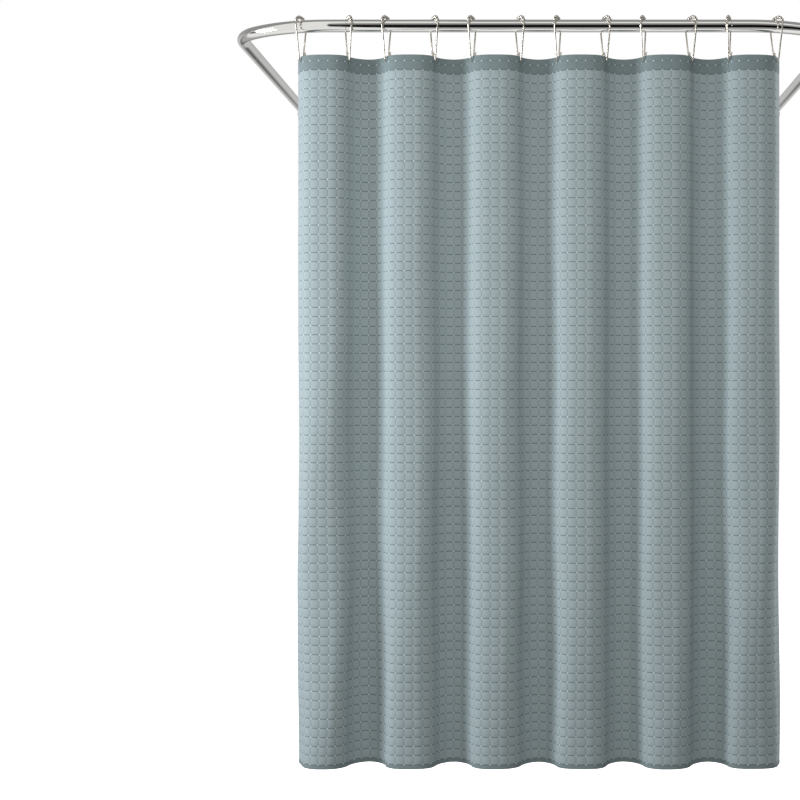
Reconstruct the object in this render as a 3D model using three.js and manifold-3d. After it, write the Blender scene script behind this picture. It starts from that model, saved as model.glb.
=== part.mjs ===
// Fabric shower curtain on a U-shaped wall-mounted rod, hung from wire hooks with roller balls.
// Millimetres, +Z up. The origin is the middle of the left wall plate's back face, on the wall.
// +X runs along the wall from the left plate to the right one, and the room is on the -Y side.
import * as THREE from 'three';
import { mergeVertices } from 'three/addons/utils/BufferGeometryUtils.js';
import Module from 'manifold-3d';

const wasm = await Module();
wasm.setup();

// Rod
const rodRadius = 16;
const rodWall = 1.2;
const rodHalfWidth = 796;       // middle of the front tube to a side tube's axis
const rodDepth = 1100;          // wall to the front tube's axis
const sweepRadius = 350;        // long, gentle part of each corner
const sweepAngle = THREE.MathUtils.degToRad(35.5);
const cornerRadius = 126;       // tight part of each corner
const cornerTail = 120;         // straight end of a corner tube before the side tube
const sweepLead = 5;            // straight tube between a front sleeve's end and the sweep
const seamGap = 0.4;            // between two tube ends
const tubeSides = 16;
const cornerSteps = 14;

// Inner sleeves that join the tubes, and their set screws
const sleeveLength = 80;
const sleeveWall = 1.8;
const sleeveGap = 0.45;         // sleeve to tube bore
const setScrewRadius = 2;
const setScrewSink = 0.3;       // a set screw's outer end below the tube's surface
const hexSocketRadius = 1.1;
const hexSocketDepth = 1.6;
const screwGap = 0.35;          // screw to its hole
const cutPast = 2;              // how far a cutter runs past the surface it cuts

// Wall fixings
const plateThickness = 4;
const hubWall = 3.6;
const hubGap = 0.4;             // hub bore to side tube
const hubHeight = 26;           // above the plate
const hubScrewBelowTop = 6;
const hubScrewSink = 0.2;
const wallScrewCount = 3;
const wallScrewShank = 1.9;
const wallScrewSink = 0.2;      // shank's end to the wall
const wallScrewHead = 3;
const wallScrewHeadTop = 2.1;
const wallScrewHeadHeight = 2.2;
const wallScrewNeck = 1.2;      // shank above the plate, inside the head
const wallScrewSeat = 0.3;      // head to plate
const wallScrewMargin = 1.3;    // head to hub
const plateMargin = 0.7;        // head to the plate's edge
const coverClearance = 1.8;     // plate's edge to the inside of the cover
const coverHeight = 15;
const coverWall = 1.2;
const coverLift = 0.3;          // cover to wall
const coverSide = 6;            // top of the cover's upright side
const coverSlope = 3;           // how far the cover draws in above that side
const coverShoulder = 4;        // height of the cover's sloping face
const coverGap = 0.6;           // cover to hub

// Hooks
const hookCount = 12;
const endHookReach = 73;        // how far the end hooks stand beyond the start of the corner's sweep
const hookDrop = 93;            // rod axis to the lowest point of a hook's wire axis
const hookFootRadius = 11;
const wireRadius = 2;
const wireSides = 6;
const wireStep = 11;            // length of one straight stretch of the wire's mesh, about
const catchLength = 16;         // free end of the wire that lies beside the rear leg
const catchGap = 0.6;           // that free end to the rear leg
const rearLegEnd = 6;           // the rear leg's own end below the catch's top
const legBend = 18;             // below the rod's axis, where the legs turn straight
const legStep = 12;
const ballRadius = 4.5;
const ballSpace = 0.2;          // between one ball and the next
const ballCount = 7;
const ballSides = 6;
const ballShoulder = 0.28;      // part of a ball's length before its widest ring
const ballFacet = 0.93;         // widest ring over the ball's radius
const rideGap = 0.8;            // ball to rod
const ballBoreGap = 0.9;
const ballNeckWall = 0.5;
const yawOdd = THREE.MathUtils.degToRad(17);
const yawEven = THREE.MathUtils.degToRad(24);

// Curtain
const curtainHeight = 1829;
const valleyShare = 0.796;      // a valley's width over a ridge's width
const foldDepth = 60;           // front of a ridge to back of a valley
const ridgeFlatness = 2;
const valleyFlatness = 1.5;
const edgeCurl = 1;             // scale of the turned-back edge beyond the end hooks
const edgeShape = [[14, 46], [-32, 52], [-9, 17]];    // its curve's points, from the free edge
const clothThickness = 2;
const hemThickness = 2.6;
const headerMargin = 4;         // header below its buttonholes
const bottomHemHeight = 10;
const sideHemShare = 0.25;      // part of each turned-back edge that is hem
const clothGap = 0.3;           // between one cloth piece and the next
const stepsPerFold = 8;
const stepsPerEdge = 8;

// Buttonholes
const buttonholeHeight = 24;
const buttonholeWidth = 12;
const buttonholeBelowTop = 11;
const hangGap = 1.5;            // top of a buttonhole to the hook's wire

// Worked out from the sizes above
const tubeBore = rodRadius - rodWall;
const straightHalf = rodHalfWidth - cornerRadius - (sweepRadius - cornerRadius) * Math.sin(sweepAngle);
const seamX = straightHalf - sleeveLength / 2 - sweepLead;
const sweepEnd = new THREE.Vector2(
  straightHalf + sweepRadius * Math.sin(sweepAngle),
  sweepRadius * (1 - Math.cos(sweepAngle)),
);
const cornerCentre = new THREE.Vector2(
  sweepEnd.x - cornerRadius * Math.sin(sweepAngle),
  sweepEnd.y + cornerRadius * Math.cos(sweepAngle),
);
const seamY = cornerCentre.y + cornerTail;
const endHookX = straightHalf + endHookReach;
const ridgeWidth = (2 * endHookX) / (hookCount / 2 + (hookCount / 2 - 1) * valleyShare);
const valleyWidth = ridgeWidth * valleyShare;
const sweepSetback = sweepRadius - Math.sqrt(sweepRadius ** 2 - endHookReach ** 2);
const endSetback = sweepSetback / 2;    // end hooks and cloth stand this far behind the front tube's axis
const sidePlay = endSetback + 0.2;
const hubBore = rodRadius + hubGap;
const hubRadius = hubBore + hubWall;
const wallScrewCircle = hubRadius + wallScrewMargin + wallScrewHead;
const plateRadius = wallScrewCircle + wallScrewHead + plateMargin;
const coverRadius = plateRadius + coverClearance + coverWall;
const archRadius = rodRadius + ballRadius + rideGap;
const ballPitch = 2 * ballRadius + ballSpace;
const buttonholeTop = -hookDrop + wireRadius + hangGap;
const curtainTop = buttonholeTop + buttonholeBelowTop;
const headerBottom = buttonholeTop - buttonholeHeight - headerMargin;
const curtainBottom = curtainTop - curtainHeight;

const chrome = new THREE.MeshStandardMaterial({ color: 0xd2d2ce, roughness: 0.12, metalness: 1 });
const steel = new THREE.MeshStandardMaterial({ color: 0x9a9a98, roughness: 0.35, metalness: 1 });
const cloth = new THREE.MeshStandardMaterial({ color: 0x93a0a3, roughness: 0.9, metalness: 0 });
const hemCloth = new THREE.MeshStandardMaterial({ color: 0x7f8d91, roughness: 0.9, metalness: 0 });

const assembly = new THREE.Group();
assembly.position.set(rodHalfWidth, -rodDepth, 0);

function add(name, geometry, material, parent = assembly) {
  const mesh = new THREE.Mesh(geometry, material);
  mesh.name = name;
  parent.add(mesh);
  return mesh;
}

// A geometry as a manifold solid, welded by position only.
function toSolid(geometry) {
  const bare = geometry.clone();
  bare.deleteAttribute('normal');
  bare.deleteAttribute('uv');
  const welded = mergeVertices(bare, 1e-4);
  return new wasm.Manifold(new wasm.Mesh({
    numProp: 3,
    vertProperties: new Float32Array(welded.attributes.position.array),
    triVerts: new Uint32Array(welded.index.array),
  }));
}

function toGeometry(solid) {
  const mesh = solid.getMesh();
  const geometry = new THREE.BufferGeometry();
  geometry.setAttribute('position', new THREE.BufferAttribute(mesh.vertProperties, 3));
  geometry.setIndex(new THREE.BufferAttribute(mesh.triVerts, 1));
  return geometry;
}

function cutAway(geometry, cutters) {
  let solid = toSolid(geometry);
  for (const cutter of cutters) {
    solid = solid.subtract(toSolid(cutter));
  }
  return toGeometry(solid);
}

// A round tube, or a solid bar when innerRadius is 0, that follows a curve.
function tubeAlong(curve, outerRadius, innerRadius, steps, sides = tubeSides) {
  const section = new THREE.Shape().absarc(0, 0, outerRadius, 0, 2 * Math.PI);
  if (innerRadius > 0) {
    section.holes.push(new THREE.Path().absarc(0, 0, innerRadius, 0, 2 * Math.PI, true));
  }
  return new THREE.ExtrudeGeometry(section, { steps, curveSegments: sides / 2, extrudePath: curve });
}

function straightTube(from, to, outerRadius, innerRadius, sides = tubeSides) {
  return tubeAlong(new THREE.LineCurve3(from, to), outerRadius, innerRadius, 1, sides);
}

// A cylinder or cone frustum whose axis runs from a point along a direction.
function pin(start, direction, length, radius, sides = 10, endRadius = radius) {
  const geometry = new THREE.CylinderGeometry(endRadius, radius, length, sides);
  const turn = new THREE.Quaternion().setFromUnitVectors(new THREE.Vector3(0, 1, 0), direction);
  geometry.applyQuaternion(turn);
  const middle = start.clone().addScaledVector(direction, length / 2);
  return geometry.translate(middle.x, middle.y, middle.z);
}

// The axis of a corner tube in plan: a short lead, the gentle sweep, the tight bend and a straight tail.
class CornerCurve extends THREE.Curve {
  constructor(side) {
    super();
    this.side = side;
    this.lead = straightHalf - seamX - seamGap / 2;
    this.sweep = sweepRadius * sweepAngle;
    this.bend = cornerRadius * (Math.PI / 2 - sweepAngle);
    this.total = this.lead + this.sweep + this.bend + cornerTail;
  }

  getPoint(t, target = new THREE.Vector3()) {
    let along = t * this.total;
    if (along < this.lead) {
      return target.set(this.side * (seamX + seamGap / 2 + along), 0, 0);
    }
    along -= this.lead;
    if (along < this.sweep) {
      const a = along / sweepRadius;
      const x = straightHalf + sweepRadius * Math.sin(a);
      return target.set(this.side * x, sweepRadius * (1 - Math.cos(a)), 0);
    }
    along -= this.sweep;
    if (along < this.bend) {
      const a = sweepAngle + along / cornerRadius;
      const x = cornerCentre.x + cornerRadius * Math.sin(a);
      return target.set(this.side * x, cornerCentre.y - cornerRadius * Math.cos(a), 0);
    }
    return target.set(this.side * rodHalfWidth, cornerCentre.y + along - this.bend, 0);
  }
}

// The two set screws of a seam, one each side of it: the point on the rod's axis and the way each faces.
function seamScrews(seam, along, facing) {
  return [-1, 1].map((end) => ({
    axisPoint: seam.clone().addScaledVector(along, (end * sleeveLength) / 4),
    facing,
  }));
}

function screwHole({ axisPoint, facing }) {
  return pin(axisPoint, facing, rodRadius + cutPast, setScrewRadius + screwGap);
}

// A headless set screw with a hexagonal socket, its outer end just below the surface it sits in.
function setScrew({ axisPoint, facing }, innerEnd, outerEnd) {
  const start = axisPoint.clone().addScaledVector(facing, innerEnd);
  const body = pin(start, facing, outerEnd - innerEnd, setScrewRadius, 12);
  const socketStart = axisPoint.clone().addScaledVector(facing, outerEnd - hexSocketDepth);
  return cutAway(body, [pin(socketStart, facing, hexSocketDepth + cutPast, hexSocketRadius, 6)]);
}

function addRod() {
  const backwards = new THREE.Vector3(0, 1, 0);
  const upwards = new THREE.Vector3(0, 0, 1);
  const rightwards = new THREE.Vector3(1, 0, 0);
  const sleeveRadius = tubeBore - sleeveGap;
  const frontCuts = [];
  for (const side of [-1, 1]) {
    const hand = side < 0 ? 'left' : 'right';
    const frontSeam = new THREE.Vector3(side * seamX, 0, 0);
    const sideSeam = new THREE.Vector3(side * rodHalfWidth, seamY, 0);
    const frontScrews = seamScrews(frontSeam, rightwards.clone().multiplyScalar(side), backwards);
    const sideScrews = seamScrews(sideSeam, backwards, upwards);
    frontCuts.push(screwHole(frontScrews[0]));

    const corner = tubeAlong(new CornerCurve(side), rodRadius, tubeBore, cornerSteps);
    const cornerCuts = [screwHole(frontScrews[1]), screwHole(sideScrews[0])];
    add(`corner_tube_${hand}`, cutAway(corner, cornerCuts), chrome);

    const sideStart = sideSeam.clone().addScaledVector(backwards, seamGap);
    const sideEnd = new THREE.Vector3(sideSeam.x, rodDepth - plateThickness - seamGap, 0);
    const sideTube = straightTube(sideStart, sideEnd, rodRadius, tubeBore);
    add(`side_tube_${hand}`, cutAway(sideTube, [screwHole(sideScrews[1])]), chrome);

    for (const [place, seam, along, screws] of [
      ['front', frontSeam, rightwards, frontScrews],
      ['side', sideSeam, backwards, sideScrews],
    ]) {
      const from = seam.clone().addScaledVector(along, -sleeveLength / 2);
      const to = seam.clone().addScaledVector(along, sleeveLength / 2);
      const sleeve = straightTube(from, to, sleeveRadius, sleeveRadius - sleeveWall);
      add(`${place}_sleeve_${hand}`, cutAway(sleeve, screws.map(screwHole)), steel);
      screws.forEach((screw, n) => {
        const body = setScrew(screw, sleeveRadius - sleeveWall, rodRadius - setScrewSink);
        add(`${place}_set_screw_${hand}_${n + 1}`, body, steel);
      });
    }
  }
  const half = rightwards.clone().multiplyScalar(seamX - seamGap / 2);
  const front = straightTube(half.clone().negate(), half, rodRadius, tubeBore);
  add('front_tube', cutAway(front, frontCuts), chrome);
}

// A lathe solid whose axis stands on the wall and points into the room.
function turnedOnWall(profile, x, sides = 24) {
  const points = profile.map(([radius, height]) => new THREE.Vector2(radius, height));
  return new THREE.LatheGeometry(points, sides).rotateX(Math.PI).translate(x, rodDepth, 0);
}

function addWallFixing(side) {
  const hand = side < 0 ? 'left' : 'right';
  const x = side * rodHalfWidth;
  const plate = turnedOnWall([
    [0, 0], [plateRadius, 0], [plateRadius, plateThickness], [hubRadius, plateThickness],
    [hubRadius, plateThickness + hubHeight], [hubBore, plateThickness + hubHeight],
    [hubBore, plateThickness], [0, plateThickness],
  ], x);
  const forwards = new THREE.Vector3(0, -1, 0);
  const cuts = [];
  for (let n = 0; n < wallScrewCount; n += 1) {
    const angle = Math.PI / 2 + (n * 2 * Math.PI) / wallScrewCount;
    const foot = new THREE.Vector3(
      x + wallScrewCircle * Math.cos(angle), rodDepth, wallScrewCircle * Math.sin(angle),
    );
    const holeStart = foot.clone().addScaledVector(forwards, -cutPast);
    cuts.push(pin(holeStart, forwards, plateThickness + 2 * cutPast, wallScrewShank + screwGap));
    const shankStart = foot.clone().addScaledVector(forwards, wallScrewSink);
    const shankLength = plateThickness + wallScrewNeck - wallScrewSink;
    const shank = pin(shankStart, forwards, shankLength, wallScrewShank);
    const headStart = foot.clone().addScaledVector(forwards, plateThickness + wallScrewSeat);
    const head = pin(headStart, forwards, wallScrewHeadHeight, wallScrewHead, 12, wallScrewHeadTop);
    const screw = toGeometry(toSolid(shank).add(toSolid(head)));
    add(`wall_screw_${hand}_${n + 1}`, screw, steel);
  }
  const hubScrew = {
    axisPoint: new THREE.Vector3(x, rodDepth - plateThickness - hubHeight + hubScrewBelowTop, 0),
    facing: new THREE.Vector3(0, 0, 1),
  };
  cuts.push(pin(hubScrew.axisPoint, hubScrew.facing, hubRadius + cutPast, setScrewRadius + screwGap));
  add(`wall_plate_${hand}`, cutAway(plate, cuts), chrome);
  add(`hub_set_screw_${hand}`, setScrew(hubScrew, hubBore, hubRadius - hubScrewSink), steel);

  const rim = hubRadius + coverGap;
  const slopeRadius = coverRadius - coverSlope;
  const slopeStart = coverHeight - coverShoulder;
  const cover = turnedOnWall([
    [coverRadius, coverLift], [coverRadius, coverSide], [slopeRadius, slopeStart], [rim, coverHeight],
    [rim, coverHeight - coverWall], [slopeRadius - coverWall / 2, slopeStart - coverWall],
    [coverRadius - coverWall, coverSide - coverWall / 3], [coverRadius - coverWall, coverLift],
    [coverRadius, coverLift],
  ], x);
  add(`wall_cover_${hand}`, cover, chrome);
}

// The hook's wire axis in its own plane: y runs from the front leg to the rear one, z is up.
// The arch clears the rod for every play that the corner's sweep asks for, at the larger yaw.
class ArchCurve extends THREE.Curve {
  constructor(halfLength) {
    super();
    this.halfLength = halfLength;
  }

  getPoint(t, target = new THREE.Vector3()) {
    const along = (2 * t - 1) * this.halfLength;
    const past = Math.abs(along) - sidePlay;
    const angle = Math.max(0, past) / archRadius;
    const y = Math.sign(along) * (Math.min(Math.abs(along), sidePlay) + archRadius * Math.sin(angle));
    return target.set(0, y / Math.cos(yawEven), archRadius * Math.cos(angle));
  }
}

function hookWireCurve() {
  const points = [];
  const footCentre = -hookDrop + hookFootRadius;
  const catchOffset = 2 * wireRadius + catchGap;
  const quarter = sidePlay + (archRadius * Math.PI) / 2;
  const arch = new ArchCurve(quarter);
  const legTop = arch.getPoint(1).y;
  const legAt = (z) => legTop + ((hookFootRadius - legTop) * z) / footCentre;
  const catchTop = footCentre + catchLength;
  for (const z of [catchTop - rearLegEnd, catchTop + legStep, -legBend]) {
    points.push(new THREE.Vector3(0, legAt(z), z));
  }
  for (let n = 0; n <= 10; n += 1) {
    points.push(arch.getPoint(1 - n / 10));
  }
  for (const z of [-legBend, catchTop]) {
    points.push(new THREE.Vector3(0, -legAt(z), z));
  }
  for (let n = 0; n <= 6; n += 1) {
    const angle = (n * Math.PI) / 6;
    const lift = catchOffset * Math.max(0, (n - 4) / 2);
    const z = footCentre - hookFootRadius * Math.sin(angle);
    points.push(new THREE.Vector3(lift, -hookFootRadius * Math.cos(angle), z));
  }
  points.push(new THREE.Vector3(catchOffset, legAt(catchTop), catchTop));
  return new THREE.CatmullRomCurve3(points, false, 'centripetal');
}

// A string of touching balls on the arch, bored through for the wire, as one closed surface.
function ballStringGeometry() {
  const arch = new ArchCurve((ballCount * ballPitch) / 2);
  const bore = wireRadius + ballBoreGap;
  const neck = bore + ballNeckWall;
  const widest = ballRadius * ballFacet;
  const rings = [];
  const place = (t, radius) => {
    const centre = arch.getPointAt(t);
    const along = arch.getTangentAt(t);
    const across = new THREE.Vector3(1, 0, 0);
    const outwards = new THREE.Vector3().crossVectors(along, across).normalize();
    const ring = [];
    for (let n = 0; n < ballSides; n += 1) {
      const a = (n * 2 * Math.PI) / ballSides;
      const point = centre.clone().addScaledVector(across, radius * Math.cos(a));
      ring.push(point.addScaledVector(outwards, radius * Math.sin(a)));
    }
    rings.push(ring);
  };
  for (let ball = 0; ball < ballCount; ball += 1) {
    place(ball / ballCount, neck);
    place((ball + ballShoulder) / ballCount, widest);
    place((ball + 1 - ballShoulder) / ballCount, widest);
  }
  place(1, neck);
  const boreSteps = 8;
  for (let n = boreSteps; n >= 0; n -= 1) {
    place(n / boreSteps, bore);
  }
  const vertices = rings.flat().flatMap((p) => [p.x, p.y, p.z]);
  const index = [];
  for (let r = 0; r < rings.length; r += 1) {
    const next = (r + 1) % rings.length;
    for (let n = 0; n < ballSides; n += 1) {
      const m = (n + 1) % ballSides;
      const [a, b] = [r * ballSides + n, r * ballSides + m];
      const [c, d] = [next * ballSides + m, next * ballSides + n];
      index.push(a, b, c, a, c, d);
    }
  }
  const geometry = new THREE.BufferGeometry();
  geometry.setAttribute('position', new THREE.Float32BufferAttribute(vertices, 3));
  geometry.setIndex(index);
  return geometry;
}

// Where each hook stands along the rod: ridges between hooks 1-2, 3-4 and so on, valleys between the others.
function hookPlaces() {
  const places = [-endHookX];
  for (let n = 1; n < hookCount; n += 1) {
    places.push(places[n - 1] + (n % 2 === 1 ? ridgeWidth : valleyWidth));
  }
  return places;
}

function hookSetback(n) {
  return n === 0 || n === hookCount - 1 ? endSetback : 0;
}

function addHooks() {
  const wireCurve = hookWireCurve();
  const wireSteps = Math.round(wireCurve.getLength() / wireStep);
  const wire = tubeAlong(wireCurve, wireRadius, 0, wireSteps, wireSides);
  const balls = ballStringGeometry();
  hookPlaces().forEach((x, n) => {
    const number = String(n + 1).padStart(2, '0');
    const hook = new THREE.Group();
    hook.position.set(x, hookSetback(n), 0);
    hook.rotation.z = n % 2 === 0 ? -yawOdd : yawEven;
    assembly.add(hook);
    add(`hook_wire_${number}`, wire, chrome, hook);
    add(`roller_balls_${number}`, balls, chrome, hook);
  });
}

// The folded cloth in plan, from the left edge to the right one. Between two hooks the cloth follows
// depth * tanh(flatness * sin) so that ridges are broad and the cloth at each hook is steep.
function foldPath() {
  const points = [];
  const edgePoints = edgeShape.map(([x, y]) => new THREE.Vector2(x, y).multiplyScalar(edgeCurl));
  const edge = new THREE.CubicBezierCurve(...edgePoints, new THREE.Vector2(0, 0));
  const leftEdge = edge.getPoints(stepsPerEdge).slice(0, -1);
  for (const p of leftEdge) {
    points.push(new THREE.Vector2(p.x - endHookX, p.y + endSetback));
  }
  const places = hookPlaces();
  for (let n = 0; n < hookCount - 1; n += 1) {
    const flatness = n % 2 === 0 ? ridgeFlatness : valleyFlatness;
    const direction = n % 2 === 0 ? -1 : 1;
    for (let step = 0; step < stepsPerFold; step += 1) {
      const t = (step / stepsPerFold + (1 - Math.cos((Math.PI * step) / stepsPerFold)) / 2) / 2;
      const x = places[n] + t * (places[n + 1] - places[n]);
      const bulge = Math.tanh(flatness * Math.sin(Math.PI * t)) / Math.tanh(flatness);
      const fold = (direction * foldDepth * bulge) / 2;
      const setback = hookSetback(n) * (1 - t) ** 2 + hookSetback(n + 1) * t ** 2;
      points.push(new THREE.Vector2(x, fold + setback));
    }
  }
  points.push(new THREE.Vector2(endHookX, endSetback));
  for (const p of leftEdge.reverse()) {
    points.push(new THREE.Vector2(endHookX - p.x, p.y + endSetback));
  }
  return points;
}

// The points of a path, each with the direction across the cloth there.
function withAcross(points) {
  return points.map((at, n) => {
    const ahead = points[Math.min(n + 1, points.length - 1)];
    const along = ahead.clone().sub(points[Math.max(n - 1, 0)]).normalize();
    return { at, across: new THREE.Vector2(along.y, -along.x) };
  });
}

// A band of cloth of even thickness that follows a path in plan, between two heights.
function clothBand(path, bottom, top, thickness) {
  const front = path.map(({ at, across }) => at.clone().addScaledVector(across, thickness / 2));
  const back = path.map(({ at, across }) => at.clone().addScaledVector(across, -thickness / 2));
  const outline = new THREE.Shape([...front, ...back.reverse()]);
  const band = new THREE.ExtrudeGeometry(outline, { depth: top - bottom, bevelEnabled: false });
  return band.translate(0, 0, bottom);
}

// Boxes through the header, square to the cloth, where each hook passes through it.
function buttonholeCutters() {
  const rise = (foldDepth * ridgeFlatness * Math.PI) / 2;
  const steepness = Math.atan(rise / (ridgeWidth * Math.tanh(ridgeFlatness)));
  return hookPlaces().map((x, n) => {
    const box = new THREE.BoxGeometry(buttonholeWidth, hemThickness * 6, buttonholeHeight);
    box.rotateZ(n % 2 === 0 ? -steepness : steepness);
    return box.translate(x, hookSetback(n), buttonholeTop - buttonholeHeight / 2);
  });
}

// A copy of a path whose last point is drawn back by a gap.
function shortened(path, gap) {
  const end = path[path.length - 1];
  const before = path[path.length - 2].at;
  const at = end.at.clone().lerp(before, gap / end.at.distanceTo(before));
  return [...path.slice(0, -1), { at, across: end.across }];
}

function addCurtain() {
  const path = withAcross(foldPath());
  const hemSteps = Math.max(1, Math.round(stepsPerEdge * sideHemShare));
  const panelTop = headerBottom - clothGap;
  const panelBottom = curtainBottom + bottomHemHeight + clothGap;
  const header = clothBand(path, headerBottom, curtainTop, hemThickness);
  add('header_hem', cutAway(header, buttonholeCutters()), hemCloth);
  const panel = clothBand(path.slice(hemSteps, -hemSteps), panelBottom, panelTop, clothThickness);
  add('curtain_panel', panel, cloth);
  add('bottom_hem', clothBand(path, curtainBottom, curtainBottom + bottomHemHeight, hemThickness), hemCloth);
  const leftHem = shortened(path.slice(0, hemSteps + 1), clothGap);
  const rightHem = shortened(path.slice(-hemSteps - 1).reverse(), clothGap).reverse();
  add('side_hem_left', clothBand(leftHem, panelBottom, panelTop, hemThickness), hemCloth);
  add('side_hem_right', clothBand(rightHem, panelBottom, panelTop, hemThickness), hemCloth);
}

addRod();
addWallFixing(-1);
addWallFixing(1);
addHooks();
addCurtain();

const shower = new THREE.Group();
shower.add(assembly);

export default shower;
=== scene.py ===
import bmesh
import bpy
import numpy as np
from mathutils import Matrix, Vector


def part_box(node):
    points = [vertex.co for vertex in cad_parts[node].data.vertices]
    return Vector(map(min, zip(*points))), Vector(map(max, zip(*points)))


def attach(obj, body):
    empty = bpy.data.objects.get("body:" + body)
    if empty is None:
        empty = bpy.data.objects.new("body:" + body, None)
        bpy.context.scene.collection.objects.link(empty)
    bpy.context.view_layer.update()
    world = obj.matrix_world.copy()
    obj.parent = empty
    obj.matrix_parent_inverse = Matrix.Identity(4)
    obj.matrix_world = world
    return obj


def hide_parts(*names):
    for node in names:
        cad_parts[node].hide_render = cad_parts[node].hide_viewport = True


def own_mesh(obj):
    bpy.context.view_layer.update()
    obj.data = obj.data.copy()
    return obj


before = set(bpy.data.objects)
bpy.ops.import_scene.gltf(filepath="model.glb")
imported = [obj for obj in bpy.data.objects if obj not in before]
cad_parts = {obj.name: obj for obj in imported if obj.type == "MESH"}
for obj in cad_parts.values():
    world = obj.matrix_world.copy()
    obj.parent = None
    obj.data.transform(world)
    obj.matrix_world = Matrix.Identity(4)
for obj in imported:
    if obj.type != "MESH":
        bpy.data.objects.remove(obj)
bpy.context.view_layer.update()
mm = 0.001
print("frame loaded:", len(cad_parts), "nodes")


def linearColour(hexText):
    # an sRGB hex value as linear red, green, blue and alpha
    channels = np.array([int(hexText[i : i + 2], 16) for i in (1, 3, 5)]) / 255
    linear = np.where(channels <= 0.04045, channels / 12.92, ((channels + 0.055) / 1.055) ** 2.4)
    return (*linear.tolist(), 1.0)


def addNode(tree, kind, inputs=None, **settings):
    # one node with its settings; an input is a value or the socket that feeds it
    node = tree.nodes.new(kind)
    for name, value in settings.items():
        setattr(node, name, value)
    for key, value in (inputs or {}).items():
        if isinstance(value, bpy.types.NodeSocket):
            tree.links.new(value, node.inputs[key])
        else:
            node.inputs[key].default_value = value
    return node


def mixColour(tree, share, first, second):
    # Mix has several sockets of one name, so its two colours, 6 and 7, are set by their places
    return addNode(tree, "ShaderNodeMix", {0: share, 6: first, 7: second}, data_type="RGBA").outputs[2]


def newMaterial(name):
    material = bpy.data.materials.new(name)
    material.use_nodes = True
    material.node_tree.nodes.clear()
    return material, material.node_tree


def finishMaterial(tree, **inputs):
    shader = addNode(tree, "ShaderNodeBsdfPrincipled", {k.replace("_", " "): v for k, v in inputs.items()})
    addNode(tree, "ShaderNodeOutputMaterial", {"Surface": shader.outputs["BSDF"]})
    return shader


def gridQuads(rows, columns, closeRows=False, closeColumns=False):
    # corner numbers of the quads between neighbouring points of a rows x columns grid
    r = np.arange(rows if closeRows else rows - 1)
    c = np.arange(columns if closeColumns else columns - 1)
    r, c = np.meshgrid(r, c, indexing="ij")
    below, right = (r + 1) % rows, (c + 1) % columns
    quads = np.stack([r * columns + c, r * columns + right, below * columns + right, below * columns + c], -1)
    return quads.reshape(-1, 4)


def newPiece(name, points, faces, material, uv=None, sharpAngle=None):
    # a mesh object from an array of points and a list of face arrays; uv is one pair per point
    mesh = bpy.data.meshes.new(name)
    points = np.asarray(points, float).reshape(-1, 3)
    faceLists = faces if isinstance(faces, list) else [faces]
    corners = np.concatenate([f.ravel() for f in faceLists])
    sizes = np.concatenate([np.full(len(f), f.shape[1]) for f in faceLists])
    mesh.vertices.add(len(points))
    mesh.vertices.foreach_set("co", points.ravel())
    mesh.loops.add(len(corners))
    mesh.loops.foreach_set("vertex_index", corners.astype(np.int32))
    mesh.polygons.add(len(sizes))
    mesh.polygons.foreach_set("loop_start", np.concatenate([[0], np.cumsum(sizes)[:-1]]).astype(np.int32))
    mesh.update(calc_edges=True)
    if uv is not None:
        layer = mesh.uv_layers.new(name="flat")
        layer.data.foreach_set("uv", np.asarray(uv, float).reshape(-1, 2)[corners].ravel())
    mesh.polygons.foreach_set("use_smooth", np.ones(len(sizes), bool))
    mesh.materials.append(material)
    piece = bpy.data.objects.new(name, mesh)
    bpy.context.scene.collection.objects.link(piece)
    if sharpAngle is not None:
        mesh.set_sharp_from_angle(angle=np.radians(sharpAngle))
    return piece


def closeSeams(piece, reach=1e-6):
    # joins the points that meet on an axis or a rim, drops unused ones and turns every face outwards
    shape = bmesh.new()
    shape.from_mesh(piece.data)
    loose = [v for v in shape.verts if not v.link_faces]
    bmesh.ops.delete(shape, geom=loose, context="VERTS")
    bmesh.ops.remove_doubles(shape, verts=shape.verts, dist=reach)
    bmesh.ops.recalc_face_normals(shape, faces=shape.faces)
    shape.to_mesh(piece.data)
    shape.free()


def applyModifiers(piece, sharpAngle=None):
    evaluated = piece.evaluated_get(bpy.context.evaluated_depsgraph_get())
    mesh = bpy.data.meshes.new_from_object(evaluated)
    piece.modifiers.clear()
    piece.data = mesh
    if sharpAngle is not None:
        mesh.set_sharp_from_angle(angle=np.radians(sharpAngle))


def cutAway(piece, cutters, sharpAngle=35):
    for cutter in cutters:
        cut = piece.modifiers.new("hole", "BOOLEAN")
        cut.object = cutter
        cut.operation = "DIFFERENCE"
        cut.solver = "EXACT"
    applyModifiers(piece, sharpAngle)
    for cutter in cutters:
        bpy.data.objects.remove(cutter)


def sweep(path, across, radius, sides, at=None):
    # rings round a path: centre + radius (cos a * side + sin a * up), where side is square to the path
    # and to "across", and up is square to both. "at" says which path point each ring stands on.
    tangent = np.gradient(path, axis=0)
    tangent /= np.linalg.norm(tangent, axis=1, keepdims=True)
    side = np.cross(tangent, across)
    side /= np.linalg.norm(side, axis=1, keepdims=True)
    up = np.cross(side, tangent)
    at = np.arange(len(path)) if at is None else np.asarray(at)
    radius = np.broadcast_to(radius, at.shape)[:, None, None]
    angle = 2 * np.pi * np.arange(sides) / sides
    ring = np.cos(angle)[None, :, None] * side[at][:, None] + np.sin(angle)[None, :, None] * up[at][:, None]
    return path[at][:, None] + radius * ring


def facesOutwards(points, faces):
    # the same quads, turned round if the solid that they close has a negative volume
    flat = points.reshape(-1, 3)
    a, b, c, d = (flat[faces[:, i]] for i in range(4))
    volume = (np.cross(a, b) * c).sum() + (np.cross(a, c) * d).sum()
    return faces if volume > 0 else faces[:, ::-1]


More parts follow.
